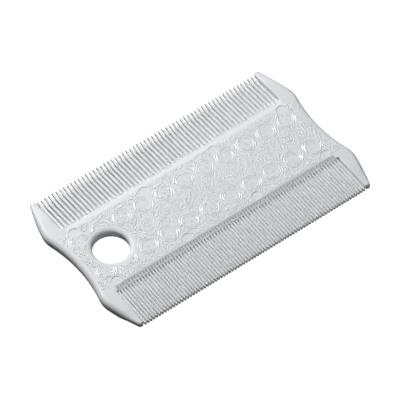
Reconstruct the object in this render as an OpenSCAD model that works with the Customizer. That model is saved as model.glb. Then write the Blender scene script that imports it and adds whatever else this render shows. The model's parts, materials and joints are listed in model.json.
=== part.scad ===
// Double-sided flea comb: one white plastic moulding, drawn as its named regions.
// X runs along the comb (hanging hole at -X) and Y across it (coarse teeth at +Y, fine teeth at -Y).
// Z is up, and the origin is the middle of the underside. Millimetres.

/* [Body] */
// Overall length, from shoulder to shoulder
overall_len = 90.6; // [88:0.1:94]
// Overall width, from tooth tip to tooth tip
overall_wid = 54; // [51:0.5:57]
// Thickness of the grip plate
plate_thk = 3.5; // [3:0.1:4]
// Width of the flat grip plate, between the two sloping root webs
plate_wid = 24; // [23.4:0.1:25]
// How far each end is hollowed at its middle
waist_depth = 1.85; // [1.2:0.05:2.2]
// Radius of the hollow in each end
waist_radius = 46; // [40:1:50]
// Radius of the four shoulders, seen from above
shoulder_radius = 8.5; // [7:0.5:10]
// Radius of the rounding along the outer edges
edge_round = 1.2; // [0.6:0.1:1.4]

/* [Hanging hole] */
// Radius of the hole
hole_radius = 5.5; // [4:0.1:5.8]
// Distance of the hole's centre from the middle of the comb
hole_offset = 32.1; // [30:0.1:33]
// Radius of the rounded rim, on both faces
hole_rim = 1.0; // [0.3:0.1:1.2]

/* [Teeth] */
// Number of coarse teeth
coarse_count = 60; // [50:1:60]
// Distance from one coarse tooth to the next
coarse_pitch = 1.325; // [1.25:0.005:1.325]
// Width of a coarse tooth at its root
coarse_root_w = 0.95; // [0.6:0.05:1.05]
// Width of a coarse tooth near its tip
coarse_tip_w = 0.85; // [0.4:0.05:0.9]
// Number of fine teeth
fine_count = 80; // [60:1:80]
// Distance from one fine tooth to the next
fine_pitch = 1.0; // [0.9:0.01:1.0]
// Width of a fine tooth at its root
fine_root_w = 0.82; // [0.5:0.02:0.86]
// Width of a fine tooth near its tip
fine_tip_w = 0.72; // [0.4:0.02:0.8]
// Thickness of every tooth at the foot of its root web
tooth_root_thk = 2.7; // [1.8:0.1:3]
// Thickness of every tooth near its tip
tooth_tip_thk = 1.4; // [0.8:0.1:1.8]
// Length of the pointed end of a tooth
tooth_point = 1.2; // [0.5:0.1:1.5]

/* [Guard teeth] */
// Thickness of a guard tooth at its tip
guard_tip_thk = 3; // [2.4:0.1:3]
// Width of a fine guard tooth at its tip
guard_tip_w = 1.84; // [1.4:0.02:2]

/* [Ornament] */
// Height of the raised lines above the plate
relief_h = 0.12; // [0.06:0.02:0.2]
// Width of a raised line
relief_line = 0.28; // [0.2:0.02:0.4]
// Distance from one rosette to the next
rosette_pitch = 7.49; // [7.2:0.01:7.6]
// Radius of a rosette's main ring
rosette_r = 2.75; // [2.4:0.05:2.9]
// Radius of the ejector marks
mark_r = 1.4; // [1:0.1:1.5]
// Depth of the ejector marks
mark_depth = 0.15; // [0.05:0.05:0.3]

/* [Hidden] */

white = [0.9, 0.9, 0.92];
web_white = [0.94, 0.94, 0.97];
relief_white = [0.84, 0.85, 0.88];

mid_z = plate_thk / 2;
half_len = overall_len / 2;
tip_y = overall_wid / 2;
plate_half = plate_wid / 2;
margin = 1;                              // how far a cutting solid stands past what it cuts

// The root webs slope from the plate down to the teeth, whose slots end just past the slope's foot.
bevel_foot_y = plate_half + 1.4;
slot_y = bevel_foot_y + 0.1;
point_y = tip_y - tooth_point;
tip_ratio = 0.7;                         // how much of its width and thickness a tooth keeps at its tip

// Each row of teeth ends in a gap, and the guard tooth stands beyond it.
coarse_guard_x = coarse_count / 2 * coarse_pitch + (coarse_pitch - coarse_root_w) / 2;
fine_guard_x = fine_count / 2 * fine_pitch + (fine_pitch - fine_root_w) / 2;
plate_end = fine_guard_x;                // where the grip plate meets the end bars

// The waist's arc and a shoulder's arc touch, so their centres are both radii apart.
waist_cx = half_len - waist_depth + waist_radius;
shoulder_cx = half_len - shoulder_radius;
shoulder_cy = sqrt(pow(waist_radius + shoulder_radius, 2) - pow(waist_cx - shoulder_cx, 2));

mark_x = [-37.8, -12.6, 12.6, 37.8];
mark_y = plate_half - mark_r - 0.05;

rosette_rows = [6.6, -6.2];
rosette_cols = 11;
rosette_shift = -0.85;                   // the pattern's middle lies a little towards the hole
bead_row = (rosette_rows[0] + rosette_rows[1]) / 2;
bead_r = 1.35;
scallop_r = 0.6;
scallop_count = 44;
scallop_pitch = 1.8;
scallop_rows = [10.4, -10.2];

// The outer half of a rounded slab's section, from x = 0 out to r. r is more than round_r.
module slab_edge_2d(r, thk, round_r, facets) {
    intersection() {
        square([r, thk]);
        union() {
            square([r - round_r, thk]);
            translate([0, round_r]) square([r, thk - 2 * round_r]);
            for (z = [round_r, thk - round_r])
                translate([r - round_r, z]) circle(r = round_r, $fn = facets);
        }
    }
}

// A flat disc with a rounded rim, standing on z = 0.
module pebble(r, thk, round_r, facets, rim_facets) {
    rotate_extrude($fn = facets) slab_edge_2d(r, thk, round_r, rim_facets);
}

// Everything inside a round hollow whose wall has rounded edges.
module hollow_cutter(r, round_r, facets) {
    rotate_extrude($fn = facets) difference() {
        translate([0, -margin]) square([r + round_r, plate_thk + 2 * margin]);
        translate([r + 2 * round_r, 0]) mirror([1, 0])
            slab_edge_2d(2 * round_r, plate_thk, round_r, 48);
    }
}

module grip_plate() {
    color(white) difference() {
        translate([-plate_end, -plate_half, 0]) cube([2 * plate_end, plate_wid, plate_thk]);
        translate([-hole_offset, 0, 0]) hollow_cutter(hole_radius, hole_rim, 96);
        for (x = mark_x, side = [-1, 1])
            translate([x, side * mark_y, plate_thk - mark_depth])
                cylinder(r = mark_r, h = mark_depth + margin, $fn = 48);
    }
}

// The hollowed end of the plate, at the +X end. Its arc runs out into the shoulders' arcs.
module end_bar() {
    color(white) difference() {
        translate([plate_end, -plate_half, 0]) cube([half_len - plate_end, plate_wid, plate_thk]);
        translate([waist_cx, 0, 0]) hollow_cutter(waist_radius, edge_round, 360);
    }
}

// Half the thickness of the comb at a distance y from its middle line, between the guard teeth.
function half_thk(y) =
    y <= bevel_foot_y
    ? mid_z + (tooth_root_thk / 2 - mid_z) * (y - plate_half) / (bevel_foot_y - plate_half)
    : y <= point_y
    ? tooth_root_thk / 2 + (tooth_tip_thk - tooth_root_thk) / 2 * (y - bevel_foot_y) / (point_y - bevel_foot_y)
    : tooth_tip_thk / 2 * tip_ratio;

// A side view through the listed distances from the middle line, pulled along X.
module side_view(ys, half_width) {
    upper = [for (y = ys) [y, mid_z + half_thk(y)]];
    lower = [for (i = [len(ys) - 1 : -1 : 0]) [ys[i], mid_z - half_thk(ys[i])]];
    translate([-half_width, 0, 0]) rotate([90, 0, 90])
        linear_extrude(2 * half_width) polygon(concat(upper, lower));
}

// The bar at +Y between the grip plate and a row of teeth, from one guard tooth to the other.
module root_web(guard_x) {
    color(web_white) side_view([plate_half, bevel_foot_y, slot_y], guard_x);
}

// A row of pointed teeth at +Y: their plan is cut to the comb's side view.
module tooth_row(count, pitch, root_w, tip_w) {
    point_w = tip_w * tip_ratio;
    color(white) intersection() {
        linear_extrude(plate_thk) for (i = [0 : count - 1])
            translate([(i - (count - 1) / 2) * pitch, 0]) polygon([
                [-root_w / 2, slot_y], [root_w / 2, slot_y],
                [tip_w / 2, point_y], [point_w / 2, tip_y],
                [-point_w / 2, tip_y], [-tip_w / 2, point_y]
            ]);
        side_view([slot_y, point_y, tip_y], half_len);
    }
}

module coarse_root_web() {
    root_web(coarse_guard_x);
}

module fine_root_web() {
    mirror([0, 1, 0]) root_web(fine_guard_x);
}

module coarse_teeth() {
    tooth_row(coarse_count, coarse_pitch, coarse_root_w, coarse_tip_w);
}

module fine_teeth() {
    mirror([0, 1, 0]) tooth_row(fine_count, fine_pitch, fine_root_w, fine_tip_w);
}

// A guard tooth with its shoulder, at the +X end of the +Y row.
// inner_x is the straight flank that faces the row of teeth.
module guard_tooth(inner_x) {
    outer_x = fine_guard_x + guard_tip_w;
    tip_r = (outer_x - inner_x) / 2;
    tip_z = mid_z - guard_tip_thk / 2;
    color(white) intersection() {
        hull() {
            translate([shoulder_cx, shoulder_cy, 0])
                pebble(shoulder_radius, plate_thk, edge_round, 72, 24);
            translate([outer_x - tip_r, tip_y - tip_r, tip_z])
                pebble(tip_r, guard_tip_thk, tip_r * 0.9, 32, 24);
        }
        translate([inner_x, plate_half, 0]) cube([half_len, tip_y, plate_thk]);
    }
}

// A raised ring on the plate, round an axis through the origin.
module ring(r, line) {
    difference() {
        cylinder(r = r, h = relief_h, $fn = 64);
        translate([0, 0, -margin]) cylinder(r = r - line, h = relief_h + 2 * margin, $fn = 64);
    }
}

// A main ring, an inner ring and a button.
module rosette() {
    ring(rosette_r, relief_line);
    ring(rosette_r * 0.62, relief_line * 0.8);
    cylinder(r = relief_line, h = relief_h, $fn = 24);
}

// A small ring round a button.
module bead() {
    ring(bead_r, relief_line);
    cylinder(r = relief_line, h = relief_h, $fn = 24);
}

// Raised lines, set on the plate's top and kept off the hanging hole and its rim.
module on_the_plate() {
    color(relief_white) translate([0, 0, plate_thk]) difference() {
        children();
        translate([-hole_offset, 0, -margin])
            cylinder(r = hole_radius + hole_rim, h = relief_h + 2 * margin, $fn = 96);
    }
}

module rosette_ornament() {
    on_the_plate() for (y = rosette_rows, i = [0 : rosette_cols - 1])
        translate([rosette_shift + (i - (rosette_cols - 1) / 2) * rosette_pitch, y, 0]) rosette();
}

// Beads lie on the middle line, between the columns of rosettes.
module bead_ornament() {
    on_the_plate() for (i = [0 : rosette_cols - 2])
        translate([rosette_shift + (i + 1 - rosette_cols / 2) * rosette_pitch, bead_row, 0]) bead();
}

// Whether a scallop centred at x would reach over an ejector mark.
function over_mark(x) = min([for (m = mark_x) abs(x - m)]) < mark_r + scallop_r;

// A row of half rings along each edge of the plate, broken at the ejector marks.
module scallop_ornament() {
    xs = [for (i = [0 : scallop_count - 1]) (i - (scallop_count - 1) / 2) * scallop_pitch];
    on_the_plate() for (y = scallop_rows, x = xs) if (!over_mark(x))
        translate([x, y, 0]) intersection() {
            ring(scallop_r, relief_line);
            translate([-scallop_r, 0, 0]) cube([2 * scallop_r, scallop_r, relief_h]);
        }
}

grip_plate();
mirror([1, 0, 0]) end_bar();  // hole_end_bar
end_bar();  // plain_end_bar
coarse_root_web();
fine_root_web();
coarse_teeth();
fine_teeth();
mirror([1, 0, 0]) guard_tooth(coarse_guard_x);  // coarse_guard_tooth_hole_end
guard_tooth(coarse_guard_x);  // coarse_guard_tooth_plain_end
rotate(180) guard_tooth(fine_guard_x);  // fine_guard_tooth_hole_end
mirror([0, 1, 0]) guard_tooth(fine_guard_x);  // fine_guard_tooth_plain_end
rosette_ornament();
bead_ornament();
scallop_ornament();
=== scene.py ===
"""The flea comb's looks: every region of the CAD moulding is remade in place as a finely rounded mesh."""

import json
import math
import random

import bmesh
import bpy
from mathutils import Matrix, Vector
from mathutils.geometry import delaunay_2d_cdt


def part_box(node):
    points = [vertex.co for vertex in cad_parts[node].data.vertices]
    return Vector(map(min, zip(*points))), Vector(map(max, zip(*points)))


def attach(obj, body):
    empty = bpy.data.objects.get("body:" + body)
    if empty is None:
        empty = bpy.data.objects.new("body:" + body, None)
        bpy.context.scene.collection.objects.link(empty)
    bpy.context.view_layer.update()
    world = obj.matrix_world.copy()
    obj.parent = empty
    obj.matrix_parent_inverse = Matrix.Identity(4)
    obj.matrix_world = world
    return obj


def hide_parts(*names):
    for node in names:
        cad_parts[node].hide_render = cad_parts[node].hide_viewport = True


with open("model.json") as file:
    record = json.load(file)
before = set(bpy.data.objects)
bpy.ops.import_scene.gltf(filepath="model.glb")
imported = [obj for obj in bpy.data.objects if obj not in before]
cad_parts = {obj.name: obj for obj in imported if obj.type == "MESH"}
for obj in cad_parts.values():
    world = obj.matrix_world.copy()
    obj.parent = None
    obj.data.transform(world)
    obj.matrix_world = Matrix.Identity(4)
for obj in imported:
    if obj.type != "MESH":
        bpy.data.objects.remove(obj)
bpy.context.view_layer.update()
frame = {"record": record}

# ---------------------------------------------------------------- sizes, in millimetres

MM = 0.001
BODY = "root"


def cad_box(node):
    """Lowest and highest corner of a CAD node."""
    low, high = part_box(node)
    return low / MM, high / MM


PLATE_END, PLATE_HALF, TOP_Z = cad_box("grip_plate")[1]
HALF_LEN = cad_box("fine_guard_tooth_plain_end")[1].x
TIP_Y = cad_box("coarse_guard_tooth_plain_end")[1].y
COARSE_FLANK = cad_box("coarse_guard_tooth_plain_end")[0].x
FINE_FLANK = cad_box("fine_guard_tooth_plain_end")[0].x
SLOT_Y = cad_box("coarse_teeth")[0].y
TOOTH_HALF = (cad_box("coarse_teeth")[1].z - cad_box("coarse_teeth")[0].z) / 2
RELIEF_H = cad_box("rosette_ornament")[1].z - TOP_Z

HOLE = next(m for m in frame["record"]["mounts"] if m["name"] == "hanging_hole")
HOLE_X = HOLE["pos_m"][0] / MM
HOLE_R = HOLE["dims"]["r_mm"]
HOLE_RIM = (TOP_Z - HOLE["dims"]["length_mm"]) / 2
RIM_WIDTH = 1.5                     # the rim is wider than high, so that it falls softly into the hole
RIM_AROUND = 128                    # corners of the hole's rings

MID_Z = TOP_Z / 2
UNDER_Z = RELIEF_H                  # the underside's raised lines reach down to z = 0

WAIST_DEPTH = 1.85
WAIST_R = 46.0
SHOULDER_R = 8.5
HORN_R = 80.0                       # the slightly bowed outer edge of a guard tooth
HORN_START = math.radians(13.5)     # where that edge leaves the shoulder's arc
EDGE_ROUND = 1.6                    # rounding of the outer edges' upper half
LOWER_ROUND = 0.9                   # and of their lower half
INNER_ROUND = 0.4                   # rounding of a guard tooth's inner edges
GUARD_TIP_HALVES = (1.4, 0.35)      # a guard tooth's height above and below the mid-plane at its tip
GUARD_THIN_Y = 19.0                 # where a guard tooth begins to thin towards its tip
GUARD_ROUND_LENGTH = 7.0            # over which length its edges take on the tip's rounding

COARSE_COUNT = 60
COARSE_PITCH = 1.325
FINE_COUNT = 80
FINE_PITCH = 1.0
# A tooth's width near its root, where its point begins and at the point's end; how much narrower it is
# right at the root; the lengths of its point and of its rounded end.
COARSE_TOOTH = (0.95, 0.88, 0.52, 0.0, 2.6, 1.2)
FINE_TOOTH = (0.84, 0.79, 0.6, 0.26, 1.0, 0.25)
NECK_LENGTH = 1.9                   # how far a tooth's narrower root reaches
TOOTH_TIP_HALF = 0.6                # half a tooth's thickness where its rounded end begins
FINE_SINK = 0.11                    # how much thinner per face the fine teeth are at their roots

# Where a gap's groove begins in the slope, how deep it gets, half its width and the length of the gap's
# curved floor.
COARSE_GROOVE = (13.0, 0.15, 0.3, 1.1)
FINE_GROOVE = (12.1, 1.0, 0.19, 0.3)
# Places across a groove, in half widths, and its depth there as a share of the full depth.
GROOVE_SHAPE = ((-1.0, 0.0), (-0.5, 0.8), (0.0, 1.0), (0.5, 0.8), (1.0, 0.0))

BEVEL_START = PLATE_HALF - 0.5      # where the faces begin to fall towards the teeth
BEVEL_WIDTH = 2.2
BEVEL_FADE = 1.1                    # how near a guard tooth the slope rises back to the flat

MARK_XS = (-37.8, -12.6, 12.6, 37.8)        # the round ejector marks
MARK_AROUND = 48
MARK_R = 1.4
MARK_Y = PLATE_HALF - MARK_R - 0.05
MARK_DEPTH = 0.2

# The waist's arc, a shoulder's arc and a guard tooth's outer arc touch one another.
WAIST_CX = HALF_LEN - WAIST_DEPTH + WAIST_R
SHOULDER_CX = HALF_LEN - SHOULDER_R
SHOULDER_CY = math.sqrt((WAIST_R + SHOULDER_R) ** 2 - (WAIST_CX - SHOULDER_CX) ** 2)
TOUCH_Y = SHOULDER_CY * WAIST_R / (WAIST_R + SHOULDER_R)
LEAVE_Y = SHOULDER_CY + SHOULDER_R * math.sin(HORN_START)
HORN_CX = SHOULDER_CX - (HORN_R - SHOULDER_R) * math.cos(HORN_START)
HORN_CY = SHOULDER_CY - (HORN_R - SHOULDER_R) * math.sin(HORN_START)


def smooth(t):
    """0 below t = 0, 1 above t = 1, with a smooth rise between."""
    t = min(max(t, 0.0), 1.0)
    return t * t * (3 - 2 * t)


def lerp(a, b, t):
    """From a at t = 0 to b at t = 1."""
    return a + (b - a) * t


def end_x(y):
    """Half the comb's length at a distance y from its middle line."""
    y = abs(y)
    if y < TOUCH_Y:
        return WAIST_CX - math.sqrt(WAIST_R**2 - y**2)
    if y < LEAVE_Y:
        return SHOULDER_CX + math.sqrt(SHOULDER_R**2 - (y - SHOULDER_CY) ** 2)
    return HORN_CX + math.sqrt(HORN_R**2 - (y - HORN_CY) ** 2)


def bevel(x, y):
    """How far the faces have sloped down to the teeth's: 0 on the flat, 1 at the slope's foot."""
    flank = COARSE_FLANK if y > 0 else FINE_FLANK
    return smooth((abs(y) - BEVEL_START) / BEVEL_WIDTH) * smooth((flank - abs(x)) / BEVEL_FADE)


def root_half(y):
    """Half a tooth's thickness at its root, in the coarse row for y > 0 and in the fine row otherwise."""
    return TOOTH_HALF if y > 0 else TOOTH_HALF - FINE_SINK


def top_z(x, y):
    """Height of the top face."""
    return lerp(TOP_Z, MID_Z + root_half(y), bevel(x, y))


def low_z(x, y):
    """Height of the underside, without its raised lines."""
    return lerp(UNDER_Z, MID_Z - root_half(y), bevel(x, y))


# ---------------------------------------------------------------- material

SHADED_WHITE = (0.905, 0.915, 0.945)
CLEAR_WHITE = (0.932, 0.94, 0.962)
GLOW_DEPTH = 0.8                    # how deep light travels into thin plastic
GRAIN_HEIGHT = 0.02
# Scale per millimetre and detail of the noises that make the clouding, the gloss and the grain.
CLOUDS = (0.12, 3)
GLOSS = (0.7, 4)
GRAIN = (9.0, 4)


def white_plastic(name, glow=0.0, roughness=(0.4, 0.52), specular=0.4, lightness=1.0):
    """Satin white moulded plastic: faint cool clouding, a fine mould grain and softly varying gloss.

    glow is how much of the light travels through it, which shows where the plastic is thin. roughness is
    the range over which the gloss varies, specular the highlights' strength, and lightness scales the white;
    above 1 that is painted light, a lighter copy of the same plastic.
    """
    mat = bpy.data.materials.new(name)
    mat.use_nodes = True
    nodes, links = mat.node_tree.nodes, mat.node_tree.links
    shader = nodes["Principled BSDF"]
    shader.inputs["IOR"].default_value = 1.49
    shader.inputs["Specular IOR Level"].default_value = specular
    shader.inputs["Subsurface Weight"].default_value = glow
    shader.inputs["Subsurface Radius"].default_value = (1.0, 1.0, 1.0)
    shader.inputs["Subsurface Scale"].default_value = GLOW_DEPTH * MM

    coords = nodes.new("ShaderNodeTexCoord")
    in_mm = nodes.new("ShaderNodeMapping")
    in_mm.inputs["Scale"].default_value = (1 / MM,) * 3
    links.new(coords.outputs["Object"], in_mm.inputs["Vector"])

    def noise(scale, detail):
        node = nodes.new("ShaderNodeTexNoise")
        node.inputs["Scale"].default_value = scale
        node.inputs["Detail"].default_value = detail
        links.new(in_mm.outputs["Vector"], node.inputs["Vector"])
        return node.outputs["Fac"]

    def spread(fac, low, high):
        """Stretches a noise from 0..1 to low..high."""
        node = nodes.new("ShaderNodeMapRange")
        node.inputs["To Min"].default_value = low
        node.inputs["To Max"].default_value = high
        links.new(fac, node.inputs["Value"])
        return node.outputs["Result"]

    tint = nodes.new("ShaderNodeMix")
    tint.data_type = "RGBA"
    # lightness above 1 paints light into both whites.
    tint.inputs["A"].default_value = [c * lightness for c in SHADED_WHITE] + [1]
    tint.inputs["B"].default_value = [c * lightness for c in CLEAR_WHITE] + [1]
    links.new(noise(*CLOUDS), tint.inputs["Factor"])
    links.new(tint.outputs["Result"], shader.inputs["Base Color"])
    links.new(spread(noise(*GLOSS), *roughness), shader.inputs["Roughness"])

    grain = nodes.new("ShaderNodeBump")
    grain.inputs["Strength"].default_value = 0.25
    grain.inputs["Distance"].default_value = GRAIN_HEIGHT * MM
    links.new(noise(*GRAIN), grain.inputs["Height"])
    links.new(grain.outputs["Normal"], shader.inputs["Normal"])
    return mat


PLASTIC = white_plastic("white_plastic")
# The teeth's plastic: light really travels through it where it is thin, and its white is painted 3.5 %
# lighter than the plate's, which is painted light.
THIN_PLASTIC_PAINTED_LIGHT = white_plastic("white_plastic_thin_painted_light", glow=0.7, lightness=1.035)
RAISED_PLASTIC = white_plastic("white_plastic_raised", roughness=(0.3, 0.38), specular=1.0)

# ---------------------------------------------------------------- mesh helpers


class Shell:
    """Points and faces of one piece, in millimetres."""

    def __init__(self):
        self.points = []
        self.faces = []

    def add(self, points, faces):
        """Adds faces that count their points from 0."""
        first = len(self.points)
        self.points += points
        self.faces += [[first + i for i in face] for face in faces]

    def loft(self, sections, closed=False, capped=True):
        """Skins closed sections of equal length; closed joins the last one to the first."""
        count, around = len(sections), len(sections[0])
        faces = []
        for s in range(count if closed else count - 1):
            here, there = s * around, (s + 1) % count * around
            for i in range(around):
                j = (i + 1) % around
                faces.append([here + i, here + j, there + j, there + i])
        if capped and not closed:
            faces.append(list(range(around))[::-1])
            faces.append([(count - 1) * around + i for i in range(around)])
        self.add([p for section in sections for p in section], faces)

    def flipped(self, x_sign, y_sign):
        """The same shell mirrored where a sign is -1."""
        copy = Shell()
        copy.points = [(x * x_sign, y * y_sign, z) for x, y, z in self.points]
        copy.faces = self.faces
        return copy

    def piece(self, name, nodes=(), material=PLASTIC, sharp_degrees=38):
        """Makes the Blender object, which rides on the body and stands for the CAD nodes."""
        bm = bmesh.new()
        verts = [bm.verts.new([c * MM for c in p]) for p in self.points]
        for face in self.faces:
            bm.faces.new([verts[i] for i in face])
        bmesh.ops.remove_doubles(bm, verts=bm.verts, dist=1e-4 * MM)
        bmesh.ops.dissolve_degenerate(bm, edges=bm.edges, dist=1e-5 * MM)
        bmesh.ops.recalc_face_normals(bm, faces=bm.faces)
        mesh = bpy.data.meshes.new(name)
        bm.to_mesh(mesh)
        bm.free()
        mesh.shade_smooth()
        mesh.set_sharp_from_angle(angle=math.radians(sharp_degrees))
        mesh.materials.append(material)
        obj = bpy.data.objects.new(name, mesh)
        bpy.context.collection.objects.link(obj)
        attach(obj, BODY)
        if nodes:
            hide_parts(*nodes)
        return obj


def circle_points(cx, cy, r, count):
    """Corners of a circle, counterclockwise from +X."""
    turn = 2 * math.pi / count
    return [(cx + r * math.cos(i * turn), cy + r * math.sin(i * turn)) for i in range(count)]


def edge_rib(x, y, inward, r, top, bottom, steps=8):
    """Points down a rounded edge: from its top, r inside the outline at (x, y), to its tighter bottom.

    top and bottom are its heights above and below the mid-plane, and inward is the direction into the
    piece, of length 1.
    """
    rib = []
    straight = 0.03                 # the least height left upright between the two roundings
    upper_r = min(r, top - straight)
    lower_r = min(r, LOWER_ROUND, bottom - straight)
    for half, round_r, first, last in ((top, upper_r, 90, 0), (-bottom, lower_r, 0, 90)):
        for k in range(steps + 1):
            turn = math.radians(lerp(first, last, k / steps))
            depth = round_r * (1 - math.cos(turn))
            rise = abs(half) - round_r + round_r * math.sin(turn)
            z = MID_Z + math.copysign(rise, half)
            rib.append((x + inward[0] * depth, y + inward[1] * depth, z))
    return rib


# ---------------------------------------------------------------- body of the comb


def grip_plate():
    """The flat plate with its round-rimmed hanging hole and its sunken ejector marks."""
    shell = Shell()
    clearance = 0.38                # between the faces' inner points and a circle cut into them

    def grid_lines(edge, step, steps, margin, count):
        """Coordinates from -edge to edge, with close steps near both and count even ones between."""
        close = [edge - step * k for k in range(steps)]
        even = [lerp(margin - edge, edge - margin, i / count) for i in range(count + 1)]
        return [-c for c in close] + even + close[::-1]

    across = grid_lines(PLATE_END, 0.2, 7, 1.4, 68)
    along = grid_lines(PLATE_HALF, 0.125, 8, 1.5, 20)
    rim = ([(x, -PLATE_HALF) for x in across[:-1]] + [(PLATE_END, y) for y in along[:-1]]
           + [(x, PLATE_HALF) for x in across[:0:-1]] + [(-PLATE_END, y) for y in along[:0:-1]])
    hole = (HOLE_X, 0, HOLE_R + RIM_WIDTH, RIM_AROUND)
    marks = [(x, side * MARK_Y, MARK_R + 0.04, MARK_AROUND) for x in MARK_XS for side in (-1, 1)]

    def face(height, circles):
        """One face of the plate at the given height, with round openings."""
        loops = [rim] + [circle_points(*c) for c in circles]
        points = [p for loop in loops for p in loop]
        edges, first = [], 0
        for loop in loops:
            edges += [(first + i, first + (i + 1) % len(loop)) for i in range(len(loop))]
            first += len(loop)
        for x in across[1:-1]:
            for y in along[1:-1]:
                if all(math.hypot(x - cx, y - cy) > r + clearance for cx, cy, r, _ in circles):
                    points.append((x, y))
        points, _, tris, *_ = delaunay_2d_cdt([Vector(p) for p in points], edges, [], 0, 1e-6)
        kept = []
        for tri in tris:
            mx = sum(points[i].x for i in tri) / 3
            my = sum(points[i].y for i in tri) / 3
            if all(math.hypot(mx - cx, my - cy) > r * math.cos(math.pi / n) for cx, cy, r, n in circles):
                kept.append(list(tri))
        shell.add([(p.x, p.y, height(p.x, p.y)) for p in points], kept)

    def tube(rings, closed_end=False):
        """Skins rings of points from the first to the last."""
        around = len(rings[0])
        faces = [[s * around + i, s * around + (i + 1) % around,
                  (s + 1) * around + (i + 1) % around, (s + 1) * around + i]
                 for s in range(len(rings) - 1) for i in range(around)]
        if closed_end:
            faces.append([(len(rings) - 1) * around + i for i in range(around)])
        shell.add([p for ring in rings for p in ring], faces)

    face(top_z, [hole] + marks)
    face(low_z, [hole])
    tube([[(x, y, height(x, y)) for x, y in rim] for height in (top_z, low_z)])

    rim_steps = 10
    top_rings, low_rings = [], []
    for k in range(rim_steps + 1):
        turn = math.radians(90 * k / rim_steps)
        r = HOLE_R + RIM_WIDTH * (1 - math.sin(turn))
        fall = HOLE_RIM * (1 - math.cos(turn))
        circle = circle_points(HOLE_X, 0, r, RIM_AROUND)
        top_rings.append([(x, y, TOP_Z - fall) for x, y in circle])
        low_rings.append([(x, y, UNDER_Z + fall) for x, y in circle])
    tube(top_rings + low_rings[::-1])

    for x, y, r, around in marks:
        rings = []
        for ring_r, depth in ((r, 0), (r - 0.015, 0.015), (r - 0.04, 0.05), (r - 0.06, MARK_DEPTH - 0.03),
                              (r - 0.09, MARK_DEPTH), (r - 0.5, MARK_DEPTH), (0.35, MARK_DEPTH)):
            circle = circle_points(x, y, ring_r, around)
            rings.append([(px, py, min(TOP_Z - depth, top_z(px, py))) for px, py in circle])
        tube(rings, closed_end=True)
    return shell


def end_bar():
    """The hollowed end of the plate at +X, between the two shoulders."""
    shell = Shell()
    count = 72
    sections = []
    for i in range(count + 1):
        y = lerp(-PLATE_HALF, PLATE_HALF, i / count)
        rib = edge_rib(end_x(y), y, (-1, 0), EDGE_ROUND, MID_Z, MID_Z - UNDER_Z)
        sections.append([(PLATE_END, y, UNDER_Z), (PLATE_END, y, TOP_Z)] + rib)
    shell.loft(sections)
    return shell


def guard_tooth(flank):
    """A guard tooth with its shoulder, at +X and +Y. flank is its straight inner side.

    Its tip is an arc that touches the flank, the line y = TIP_Y and the bowed outer edge.
    """
    a, b = flank - HORN_CX, TIP_Y - HORN_CY
    half_sum = a - b + HORN_R
    tip_r = -half_sum + math.sqrt(half_sum**2 - (a * a + b * b - HORN_R**2))
    tip_cx, tip_cy = flank + tip_r, TIP_Y - tip_r
    meet = math.atan2(tip_cy - HORN_CY, tip_cx - HORN_CX)
    last_y = tip_cy + tip_r * math.sin(meet)
    tip_round = 0.78 * tip_r
    inner_start = 1.3               # how far past the slots' floor the inner edges are fully rounded

    def halves(y):
        """The tooth's height above and below the mid-plane."""
        t = smooth((y - GUARD_THIN_Y) / (tip_cy - GUARD_THIN_Y))
        return lerp(MID_Z, GUARD_TIP_HALVES[0], t), lerp(MID_Z - UNDER_Z, GUARD_TIP_HALVES[1], t)

    def section(outer, inner):
        """A closed section from an edge on the outer side and one on the inner side."""
        return edge_rib(*outer) + edge_rib(*inner)[::-1]

    sections = []
    stations = 40
    round_start = TIP_Y - GUARD_ROUND_LENGTH
    for i in range(stations + 1):
        t = i / stations
        y_out, y_in = lerp(PLATE_HALF, last_y, t), lerp(PLATE_HALF, tip_cy, t)
        near_tip = smooth((y_out - round_start) / (last_y - round_start))
        lean = meet * near_tip
        r_out = lerp(EDGE_ROUND, tip_round, near_tip)
        r_in = lerp(INNER_ROUND, tip_round, near_tip) * smooth((y_in - SLOT_Y) / inner_start)
        sections.append(section(
            (end_x(y_out), y_out, (-math.cos(lean), -math.sin(lean)), r_out, *halves(y_out)),
            (flank, y_in, (1, 0), max(r_in, 0.01), *halves(y_in)),
        ))
    tip_steps = 12
    middle = (meet + math.pi) / 2
    for i in range(1, tip_steps + 1):
        turns = lerp(meet, middle, i / tip_steps), lerp(math.pi, middle, i / tip_steps)
        ribs = []
        for turn in turns:
            c, s = math.cos(turn), math.sin(turn)
            ribs.append((tip_cx + tip_r * c, tip_cy + tip_r * s, (-c, -s), tip_round, *halves(TIP_Y)))
        sections.append(section(*ribs))
    shell = Shell()
    shell.loft(sections)
    return shell


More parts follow.
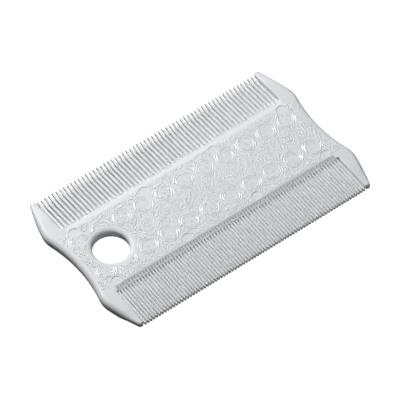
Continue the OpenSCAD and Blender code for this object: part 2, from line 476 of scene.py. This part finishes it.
def root_web(flank, count, pitch, side):
    """The bar at +Y that slopes from plate to teeth, and rises back to the flat beside the guard teeth.

    Every gap between two teeth starts as a groove in the slope. side is -1 for the bar that is turned over
    to -Y.
    """
    groove_y, groove_depth, half_gap, ramp_length = COARSE_GROOVE if side > 0 else FINE_GROOVE
    stations = [(-flank + BEVEL_FADE * k / 10, 0) for k in range(8)]
    for i in range(1, count):
        centre = (i - count / 2) * pitch
        stations += [(centre + half_gap * across, full) for across, full in GROOVE_SHAPE]
    stations += [(flank - BEVEL_FADE * k / 10, 0) for k in range(7, -1, -1)]
    ys = [lerp(PLATE_HALF, SLOT_Y, j / 15) for j in range(16)]
    ramp_share = 0.97               # the curved floor stops just above the underside
    sections = []
    for x, full in stations:
        fade = full * smooth((flank - abs(x)) / BEVEL_FADE)
        top = []
        for y in ys:
            sunk = fade * groove_depth * smooth((y - groove_y) / (SLOT_Y - groove_y))
            top.append((x, y, top_z(x, side * y) - sunk))
        low = [(x, y, low_z(x, side * y)) for y in ys[::-1]]
        ramp_height = (top[-1][2] - low[0][2]) * ramp_share
        ramp = []
        for turn in (12, 24, 35, 46, 57, 68, 79, 90):
            along, down = math.sin(math.radians(turn)), 1 - math.cos(math.radians(turn))
            ramp.append((x, SLOT_Y + ramp_length * along, top[-1][2] - ramp_height * down))
        sections.append(top + ramp + low)
    shell = Shell()
    shell.loft(sections)
    return shell


# ---------------------------------------------------------------- teeth


def tooth_section(cx, y, half_w, half_t, squareness, around=20):
    """A rounded box round (cx, MID_Z): the larger the squareness, the tighter its corners."""
    points = []
    for i in range(around):
        turn = 2 * math.pi * (i + 0.5) / around
        c, s = math.cos(turn), math.sin(turn)
        dz = math.copysign(abs(s) ** (2 / squareness), s) * half_t
        dx = math.copysign(abs(c) ** (2 / squareness), c) * half_w
        points.append((cx + dx, y, max(MID_Z + dz, UNDER_Z)))
    return points


def tooth_row(count, pitch, shape, side):
    """A row of teeth at +Y. Each has filleted roots, a slow taper and a rounded chisel point.

    side is -1 for the row that is turned over to -Y, whose roots are a little thinner.
    """
    root_w, point_w, tip_w, neck, point, nose_length = shape
    root_square, blade_square, square_length = 14, 4.2, 1.3
    hidden_length, hidden_inset = 0.3, 0.02     # the stub inside the sloping bar
    thick = root_half(side)
    fillet = (pitch - root_w + neck) / 2
    point_y = TIP_Y - point
    nose_y = TIP_Y - nose_length

    def nose(y):
        """From 1 where a tooth's rounded end begins to 0 at its tip."""
        return math.sqrt(max(1 - max((y - nose_y) / nose_length, 0) ** 2, 0))

    def half_width(y):
        """Half the width, with the fillet between two teeth at the root."""
        into = y - SLOT_Y
        flare = fillet - math.sqrt(max(fillet**2 - (fillet - into) ** 2, 0)) if into < fillet else 0
        straight = lerp(root_w, point_w, min(into / (point_y - SLOT_Y), 1))
        straight = lerp(straight, tip_w, smooth((y - point_y) / (nose_y - point_y)))
        straight -= neck * (1 - smooth(into / NECK_LENGTH))
        return straight / 2 * nose(y) ** 0.7 + flare * 0.98

    def half_thickness(y):
        """Half the thickness, which thins evenly up to the rounded end."""
        return lerp(thick, TOOTH_TIP_HALF, min((y - SLOT_Y) / (nose_y - SLOT_Y), 1)) * nose(y)

    ys = [SLOT_Y + fillet * (1 - math.cos(math.radians(90 * k / 6))) for k in range(7)]
    ys += [SLOT_Y + d for d in (0.45, 0.65, 0.9, 1.2, 1.6)]
    ys += [lerp(SLOT_Y + 2.2, point_y, k / 6) for k in range(7)]
    ys += [lerp(point_y, nose_y, k / 5) for k in range(1, 6)]
    ys += [nose_y + nose_length * math.sin(math.radians(a)) for a in (15, 30, 43, 55, 66, 76, 85)]
    shell = Shell()
    for i in range(count):
        cx = (i - (count - 1) / 2) * pitch
        stub_w, stub_t = half_width(SLOT_Y) - hidden_inset, half_thickness(SLOT_Y) - hidden_inset
        stub = tooth_section(cx, SLOT_Y, stub_w, stub_t, 8)
        sections = [[(x, SLOT_Y - hidden_length, z) for x, _, z in stub], stub]
        for y in ys:
            squareness = lerp(root_square, blade_square, smooth((y - SLOT_Y) / square_length))
            sections.append(tooth_section(cx, y, half_width(y), half_thickness(y), squareness))
        shell.loft(sections)
    return shell


# ---------------------------------------------------------------- raised ornament

LINE_HALF = 0.28                    # half the width of the rings' lines, which rise to the full height
ARC_HALF = 0.26                     # of the arcs round them
FINE_HALF = 0.2                     # of the finer lines, which stay lower
LEAF_HALF = 0.18                    # and of a bead's leaves
ROSETTE_PITCH = 7.49
ROSETTE_COLUMNS = 11
ROSETTE_SHIFT = -0.85
ROSETTE_ROWS = (6.6, -6.2)
BEAD_Y = sum(ROSETTE_ROWS) / 2
ROSETTE_REACH = 3.25                # how far a rosette reaches round its centre
BEAD_REACH = 1.15                   # and a bead
CURL_ROOM = 0.3                     # how far from both the curls stay
CURL_PITCH = 1.08
CURL_LEAN = 150                     # direction, in degrees, in which or against which the hooks bulge
SLOPE_ROOM = 0.4                    # how far the lines stay from the plate's long sides
MARK_ROOM = 0.15                    # and from an ejector mark
EDGE_OVERLAP = 0.25                 # how far they reach onto the rounding of the ends
RIM_OVERLAP = 0.2                   # and onto the hole's rim
COLUMN_XS = [
    ROSETTE_SHIFT + (i - (ROSETTE_COLUMNS - 1) / 2) * ROSETTE_PITCH
    for i in range(ROSETTE_COLUMNS)
]


def is_free(x, y, room):
    """True where a raised line with that much room round it keeps to the plate's flat, or nearly so."""
    if abs(y) > PLATE_HALF - SLOPE_ROOM - room or abs(x) > end_x(y) - EDGE_ROUND + EDGE_OVERLAP - room:
        return False
    if math.hypot(x - HOLE_X, y) < HOLE_R + RIM_WIDTH - RIM_OVERLAP + room:
        return False
    return all(math.hypot(x - mx, abs(y) - MARK_Y) > MARK_R + MARK_ROOM + room for mx in MARK_XS)


def arc_points(cx, cy, r, start, sweep):
    """Points along an arc, in degrees, about a quarter of a millimetre apart."""
    count = max(6, round(abs(math.radians(sweep)) * r / 0.24))
    turns = [math.radians(start + sweep * i / count) for i in range(count + 1)]
    return [(cx + r * math.cos(t), cy + r * math.sin(t)) for t in turns]


def wave_points(x, y, r, turn, sweep):
    """Points along two opposite arcs that meet in an S at (x, y)."""
    t = math.radians(turn)
    dx, dy = r * math.cos(t), r * math.sin(t)
    first = arc_points(x + dx, y + dy, r, turn + 180 - sweep, sweep)
    return first + arc_points(x - dx, y - dy, r, turn, -sweep)[1:]


class Relief(Shell):
    """Raised lines and buttons on the plate's top, or hanging from its underside."""

    # Places across a line, in half widths, and its height there as a share of the full height.
    PROFILE = ((-1, -0.4), (-1, 0), (-0.66, 0.26), (-0.33, 0.75), (0, 1),
               (0.33, 0.75), (0.66, 0.26), (1, 0), (1, -0.4))

    def __init__(self, z, up):
        super().__init__()
        self.z, self.up = z, up

    def ridge(self, path, half_w=LINE_HALF):
        """A bell-shaped ridge along the stretches of the path that is_free allows."""
        closed = math.dist(path[0], path[-1]) < 1e-6
        fits = [is_free(x, y, half_w) for x, y in path]
        if closed and all(fits):
            self.sweep(path[:-1], half_w, True)
            return
        if closed and fits[0]:
            gap = fits.index(False)
            path, fits = path[gap:-1] + path[:gap + 1], fits[gap:-1] + fits[:gap + 1]
        run = []
        for point, fit in zip(path + [None], fits + [False]):
            if fit:
                run.append(point)
                continue
            if len(run) > 3:
                self.sweep(run, half_w, False)
            run = []

    def sweep(self, path, half_w, closed):
        """Skins the profile along the whole path. An open ridge narrows to nothing at its ends."""
        count = len(path)
        height = self.up * RELIEF_H * min(1.25 * half_w / LINE_HALF, 1)
        lengths = [0.0]
        for p, q in zip(path, path[1:]):
            lengths.append(lengths[-1] + math.dist(p, q))
        sections = []
        for i, (x, y) in enumerate(path):
            before = path[i - 1] if closed or i else path[i]
            after = path[(i + 1) % count] if closed or i < count - 1 else path[i]
            tx, ty = after[0] - before[0], after[1] - before[1]
            size = math.hypot(tx, ty)
            nx, ny = -ty / size, tx / size
            full = 1.0
            if not closed:
                near_end = min(lengths[i], lengths[-1] - lengths[i]) / (1.6 * half_w)
                full = math.sqrt(1 - (1 - min(near_end, 1)) ** 2)
            sections.append([
                (x + nx * across * half_w * full, y + ny * across * half_w * full,
                 self.z + height * (rise * full if rise > 0 else rise))
                for across, rise in self.PROFILE
            ])
        self.loft(sections, closed=closed, capped=False)

    def button(self, cx, cy, r):
        """A low round dome."""
        if not is_free(cx, cy, r):
            return
        rings = []
        for scale, rise in ((1.0, -0.4), (1.0, 0.0), (0.78, 0.55), (0.42, 0.92)):
            z = self.z + self.up * RELIEF_H * rise
            rings.append([(x, y, z) for x, y in circle_points(cx, cy, r * scale, 14)])
        self.loft(rings, capped=True)


def rosette(relief, cx, cy, turn):
    """A ring inside three arcs, holding five leaves and a wave."""
    ring_r, arc_r, leaf_r, wave_r = 2.45, 3.05, 0.45, 0.32
    leaf_place = 1.5                # a leaf's distance from the centre
    relief.ridge(arc_points(cx, cy, ring_r, 0, 360))
    for k in range(3):
        relief.ridge(arc_points(cx, cy, arc_r, turn + 120 * k, 88), ARC_HALF)
    for k in range(5):
        a = math.radians(turn + 72 * k)
        px, py = cx + leaf_place * math.cos(a), cy + leaf_place * math.sin(a)
        relief.ridge(arc_points(px, py, leaf_r, turn + 72 * k - 100, 200), FINE_HALF)
    relief.ridge(wave_points(cx, cy, wave_r, CURL_LEAN + 90, 170), FINE_HALF)


def bead(relief, cx, cy, turn):
    """A small ring round a button, between two leaves."""
    ring_r, button_r, leaf_r = 0.75, 0.3, 0.9
    leaf_place = 0.45               # a leaf's arc has its centre this far off the bead's
    relief.ridge(arc_points(cx, cy, ring_r, 0, 360), FINE_HALF)
    relief.button(cx, cy, button_r)
    for k in range(2):
        a = math.radians(turn + 180 * k)
        px, py = cx + leaf_place * math.cos(a), cy + leaf_place * math.sin(a)
        relief.ridge(arc_points(px, py, leaf_r, turn + 180 * k - 50, 100), LEAF_HALF)


def rosettes(relief):
    """Two rows of rosettes, each one turned a little further than the last."""
    for row, y in enumerate(ROSETTE_ROWS):
        for i, x in enumerate(COLUMN_XS):
            rosette(relief, x, y, 17 * i + 31 * row)
    return relief


def beads(relief):
    """A row of beads, each in the middle of four rosettes."""
    for i, x in enumerate(COLUMN_XS[:-1]):
        bead(relief, x + ROSETTE_PITCH / 2, BEAD_Y, 40 + 50 * i)
    return relief


def curls(relief):
    """Small hooks and waves, in slightly uneven rows, that fill what the rosettes and beads leave free."""
    jitter, row_share, wave_r = 0.08, 0.93, 0.26
    taken = [(x, y, ROSETTE_REACH) for x in COLUMN_XS for y in ROSETTE_ROWS]
    taken += [(x + ROSETTE_PITCH / 2, BEAD_Y, BEAD_REACH) for x in COLUMN_XS[:-1]]
    draw = random.Random(11)
    across = round(2 * HALF_LEN / CURL_PITCH)
    rows = round(PLATE_HALF / CURL_PITCH)
    for row in range(-rows, rows + 1):
        for i in range(across):
            x = (i - across / 2 + row % 2 / 2) * CURL_PITCH + draw.uniform(-jitter, jitter)
            y = row * CURL_PITCH * row_share + draw.uniform(-jitter, jitter)
            lean, sweep, kind = draw.uniform(-50, 50), draw.uniform(150, 250), draw.random()
            if any(math.hypot(x - tx, y - ty) < CURL_ROOM + tr for tx, ty, tr in taken):
                continue
            if kind < 0.6:
                middle = CURL_LEAN + lean + (180 if kind < 0.3 else 0)
                relief.ridge(arc_points(x, y, draw.uniform(0.3, 0.4), middle - sweep / 2, sweep), FINE_HALF)
            else:
                relief.ridge(wave_points(x, y, wave_r, CURL_LEAN + 90 + lean, sweep * 0.7), FINE_HALF)
    return relief


# ---------------------------------------------------------------- the pieces

grip_plate().piece("grip_plate_moulding", ["grip_plate"])

bar = end_bar()
bar.flipped(-1, 1).piece("hole_end_bar_moulding", ["hole_end_bar"])
bar.piece("plain_end_bar_moulding", ["plain_end_bar"])

for row, flank, y_sign in (("coarse", COARSE_FLANK, 1), ("fine", FINE_FLANK, -1)):
    guard = guard_tooth(flank)
    for end, x_sign in (("hole_end", -1), ("plain_end", 1)):
        node = f"{row}_guard_tooth_{end}"
        guard.flipped(x_sign, y_sign).piece(f"{node}_moulding", [node])

for row, flank, count, pitch, y_sign in (
    ("coarse", COARSE_FLANK, COARSE_COUNT, COARSE_PITCH, 1),
    ("fine", FINE_FLANK, FINE_COUNT, FINE_PITCH, -1),
):
    web = root_web(flank, count, pitch, y_sign).flipped(1, y_sign)
    web.piece(f"{row}_root_web_moulding", [f"{row}_root_web"])

for row, count, pitch, shape, y_sign in (
    ("coarse", COARSE_COUNT, COARSE_PITCH, COARSE_TOOTH, 1),
    ("fine", FINE_COUNT, FINE_PITCH, FINE_TOOTH, -1),
):
    teeth = tooth_row(count, pitch, shape, y_sign).flipped(1, y_sign)
    teeth.piece(f"{row}_teeth_moulding", [f"{row}_teeth"], THIN_PLASTIC_PAINTED_LIGHT)

# The same ornament lies on the top face and hangs from the underside.
for side, z, up in (("top", TOP_Z, 1), ("underside", UNDER_Z, -1)):
    for kind, draw_on, node in (
        ("rosettes", rosettes, "rosette_ornament"),
        ("beads", beads, "bead_ornament"),
        ("curls", curls, "scallop_ornament"),
    ):
        draw_on(Relief(z, up)).piece(f"{side}_{kind}", [node], RAISED_PLASTIC, sharp_degrees=70)

# ---------------------------------------------------------------- stage, light and camera, in metres

FLOOR_HALF = 2.5
FLOOR_DROP = 0.00002                # keeps the floor clear of the comb's lowest lines
COOL_LIGHT = (0.94, 0.97, 1.0)
# Name, compass direction and elevation in degrees, distance, diameter, watts and colour of each light.
LIGHTS = (
    ("key_light", 103, 42, 0.55, 0.2, 2.52, (1, 1, 1)),
    ("overhead_light", 30, 80, 1.4, 1.2, 3, COOL_LIGHT),
    ("fill_light", -78, 32, 1.2, 0.8, 1.1, COOL_LIGHT),
)
WORLD_STRENGTH = 0.05

CAMERA_AZIMUTH = math.radians(-37.05)       # counted from -Y towards +X
CAMERA_ELEVATION = math.radians(52.42)
CAMERA_DISTANCE = 1.0217
CAMERA_LENS, CAMERA_SENSOR = 316.8, 36      # focal length and width, in mm
AIM_ASIDE, AIM_ABOVE = -0.11 * MM, -0.98 * MM


def floor():
    """A pale floor that shines evenly and sends no light back to the comb."""
    mesh = bpy.data.meshes.new("floor")
    corners = [(x * FLOOR_HALF, y * FLOOR_HALF, 0) for x, y in ((-1, -1), (1, -1), (1, 1), (-1, 1))]
    mesh.from_pydata(corners, [], [(0, 1, 2, 3)])
    mat = bpy.data.materials.new("pale_floor")
    mat.use_nodes = True
    shader = mat.node_tree.nodes["Principled BSDF"]
    shader.inputs["Base Color"].default_value = (0.4, 0.4, 0.4, 1)
    shader.inputs["Roughness"].default_value = 0.9
    shader.inputs["Specular IOR Level"].default_value = 0.0
    shader.inputs["Emission Color"].default_value = (1, 1, 1, 1)
    shader.inputs["Emission Strength"].default_value = 1.0
    mesh.materials.append(mat)
    obj = bpy.data.objects.new("floor", mesh)
    bpy.context.collection.objects.link(obj)
    obj.location.z = -FLOOR_DROP
    obj.visible_diffuse = False
    obj.visible_glossy = False


def aim(obj, target):
    """Turns a light or the camera towards a point."""
    obj.rotation_mode = "QUATERNION"
    obj.rotation_quaternion = (Vector(target) - obj.location).to_track_quat("-Z", "Y")


def softbox(name, azimuth, elevation, distance, size, watts, colour):
    """A round light at a compass direction from the comb: azimuth 0 is +X and 90 is +Y."""
    data = bpy.data.lights.new(name, "AREA")
    data.shape = "DISK"
    data.size = size
    data.energy = watts
    data.color = colour
    obj = bpy.data.objects.new(name, data)
    bpy.context.collection.objects.link(obj)
    a, e = math.radians(azimuth), math.radians(elevation)
    direction = (math.cos(a) * math.cos(e), math.sin(a) * math.cos(e), math.sin(e))
    obj.location = [distance * c for c in direction]
    aim(obj, (0, 0, 0))


def studio():
    """The lights, a faint even light from all round and plain colours."""
    for light in LIGHTS:
        softbox(*light)
    world = bpy.data.worlds.new("studio")
    world.use_nodes = True
    background = world.node_tree.nodes["Background"]
    background.inputs["Color"].default_value = (*COOL_LIGHT, 1)
    background.inputs["Strength"].default_value = WORLD_STRENGTH
    bpy.context.scene.world = world
    bpy.context.scene.view_settings.view_transform = "Standard"
    bpy.context.scene.view_settings.look = "None"


def camera():
    """A long lens, aimed a millimetre below the comb's middle, which then lies just above the frame's."""
    data = bpy.data.cameras.new("camera")
    data.sensor_width = CAMERA_SENSOR
    data.lens = CAMERA_LENS
    data.clip_start, data.clip_end = 0.05, 20
    obj = bpy.data.objects.new("camera", data)
    bpy.context.collection.objects.link(obj)
    sine, cosine = math.sin(CAMERA_AZIMUTH), math.cos(CAMERA_AZIMUTH)
    level = math.cos(CAMERA_ELEVATION)
    back = Vector((sine * level, -cosine * level, math.sin(CAMERA_ELEVATION)))
    right = Vector((cosine, sine, 0))
    target = Vector((0, 0, MID_Z * MM)) + right * AIM_ASIDE + back.cross(right) * AIM_ABOVE
    obj.location = target + back * CAMERA_DISTANCE
    aim(obj, target)
    bpy.context.scene.camera = obj


floor()
studio()
camera()
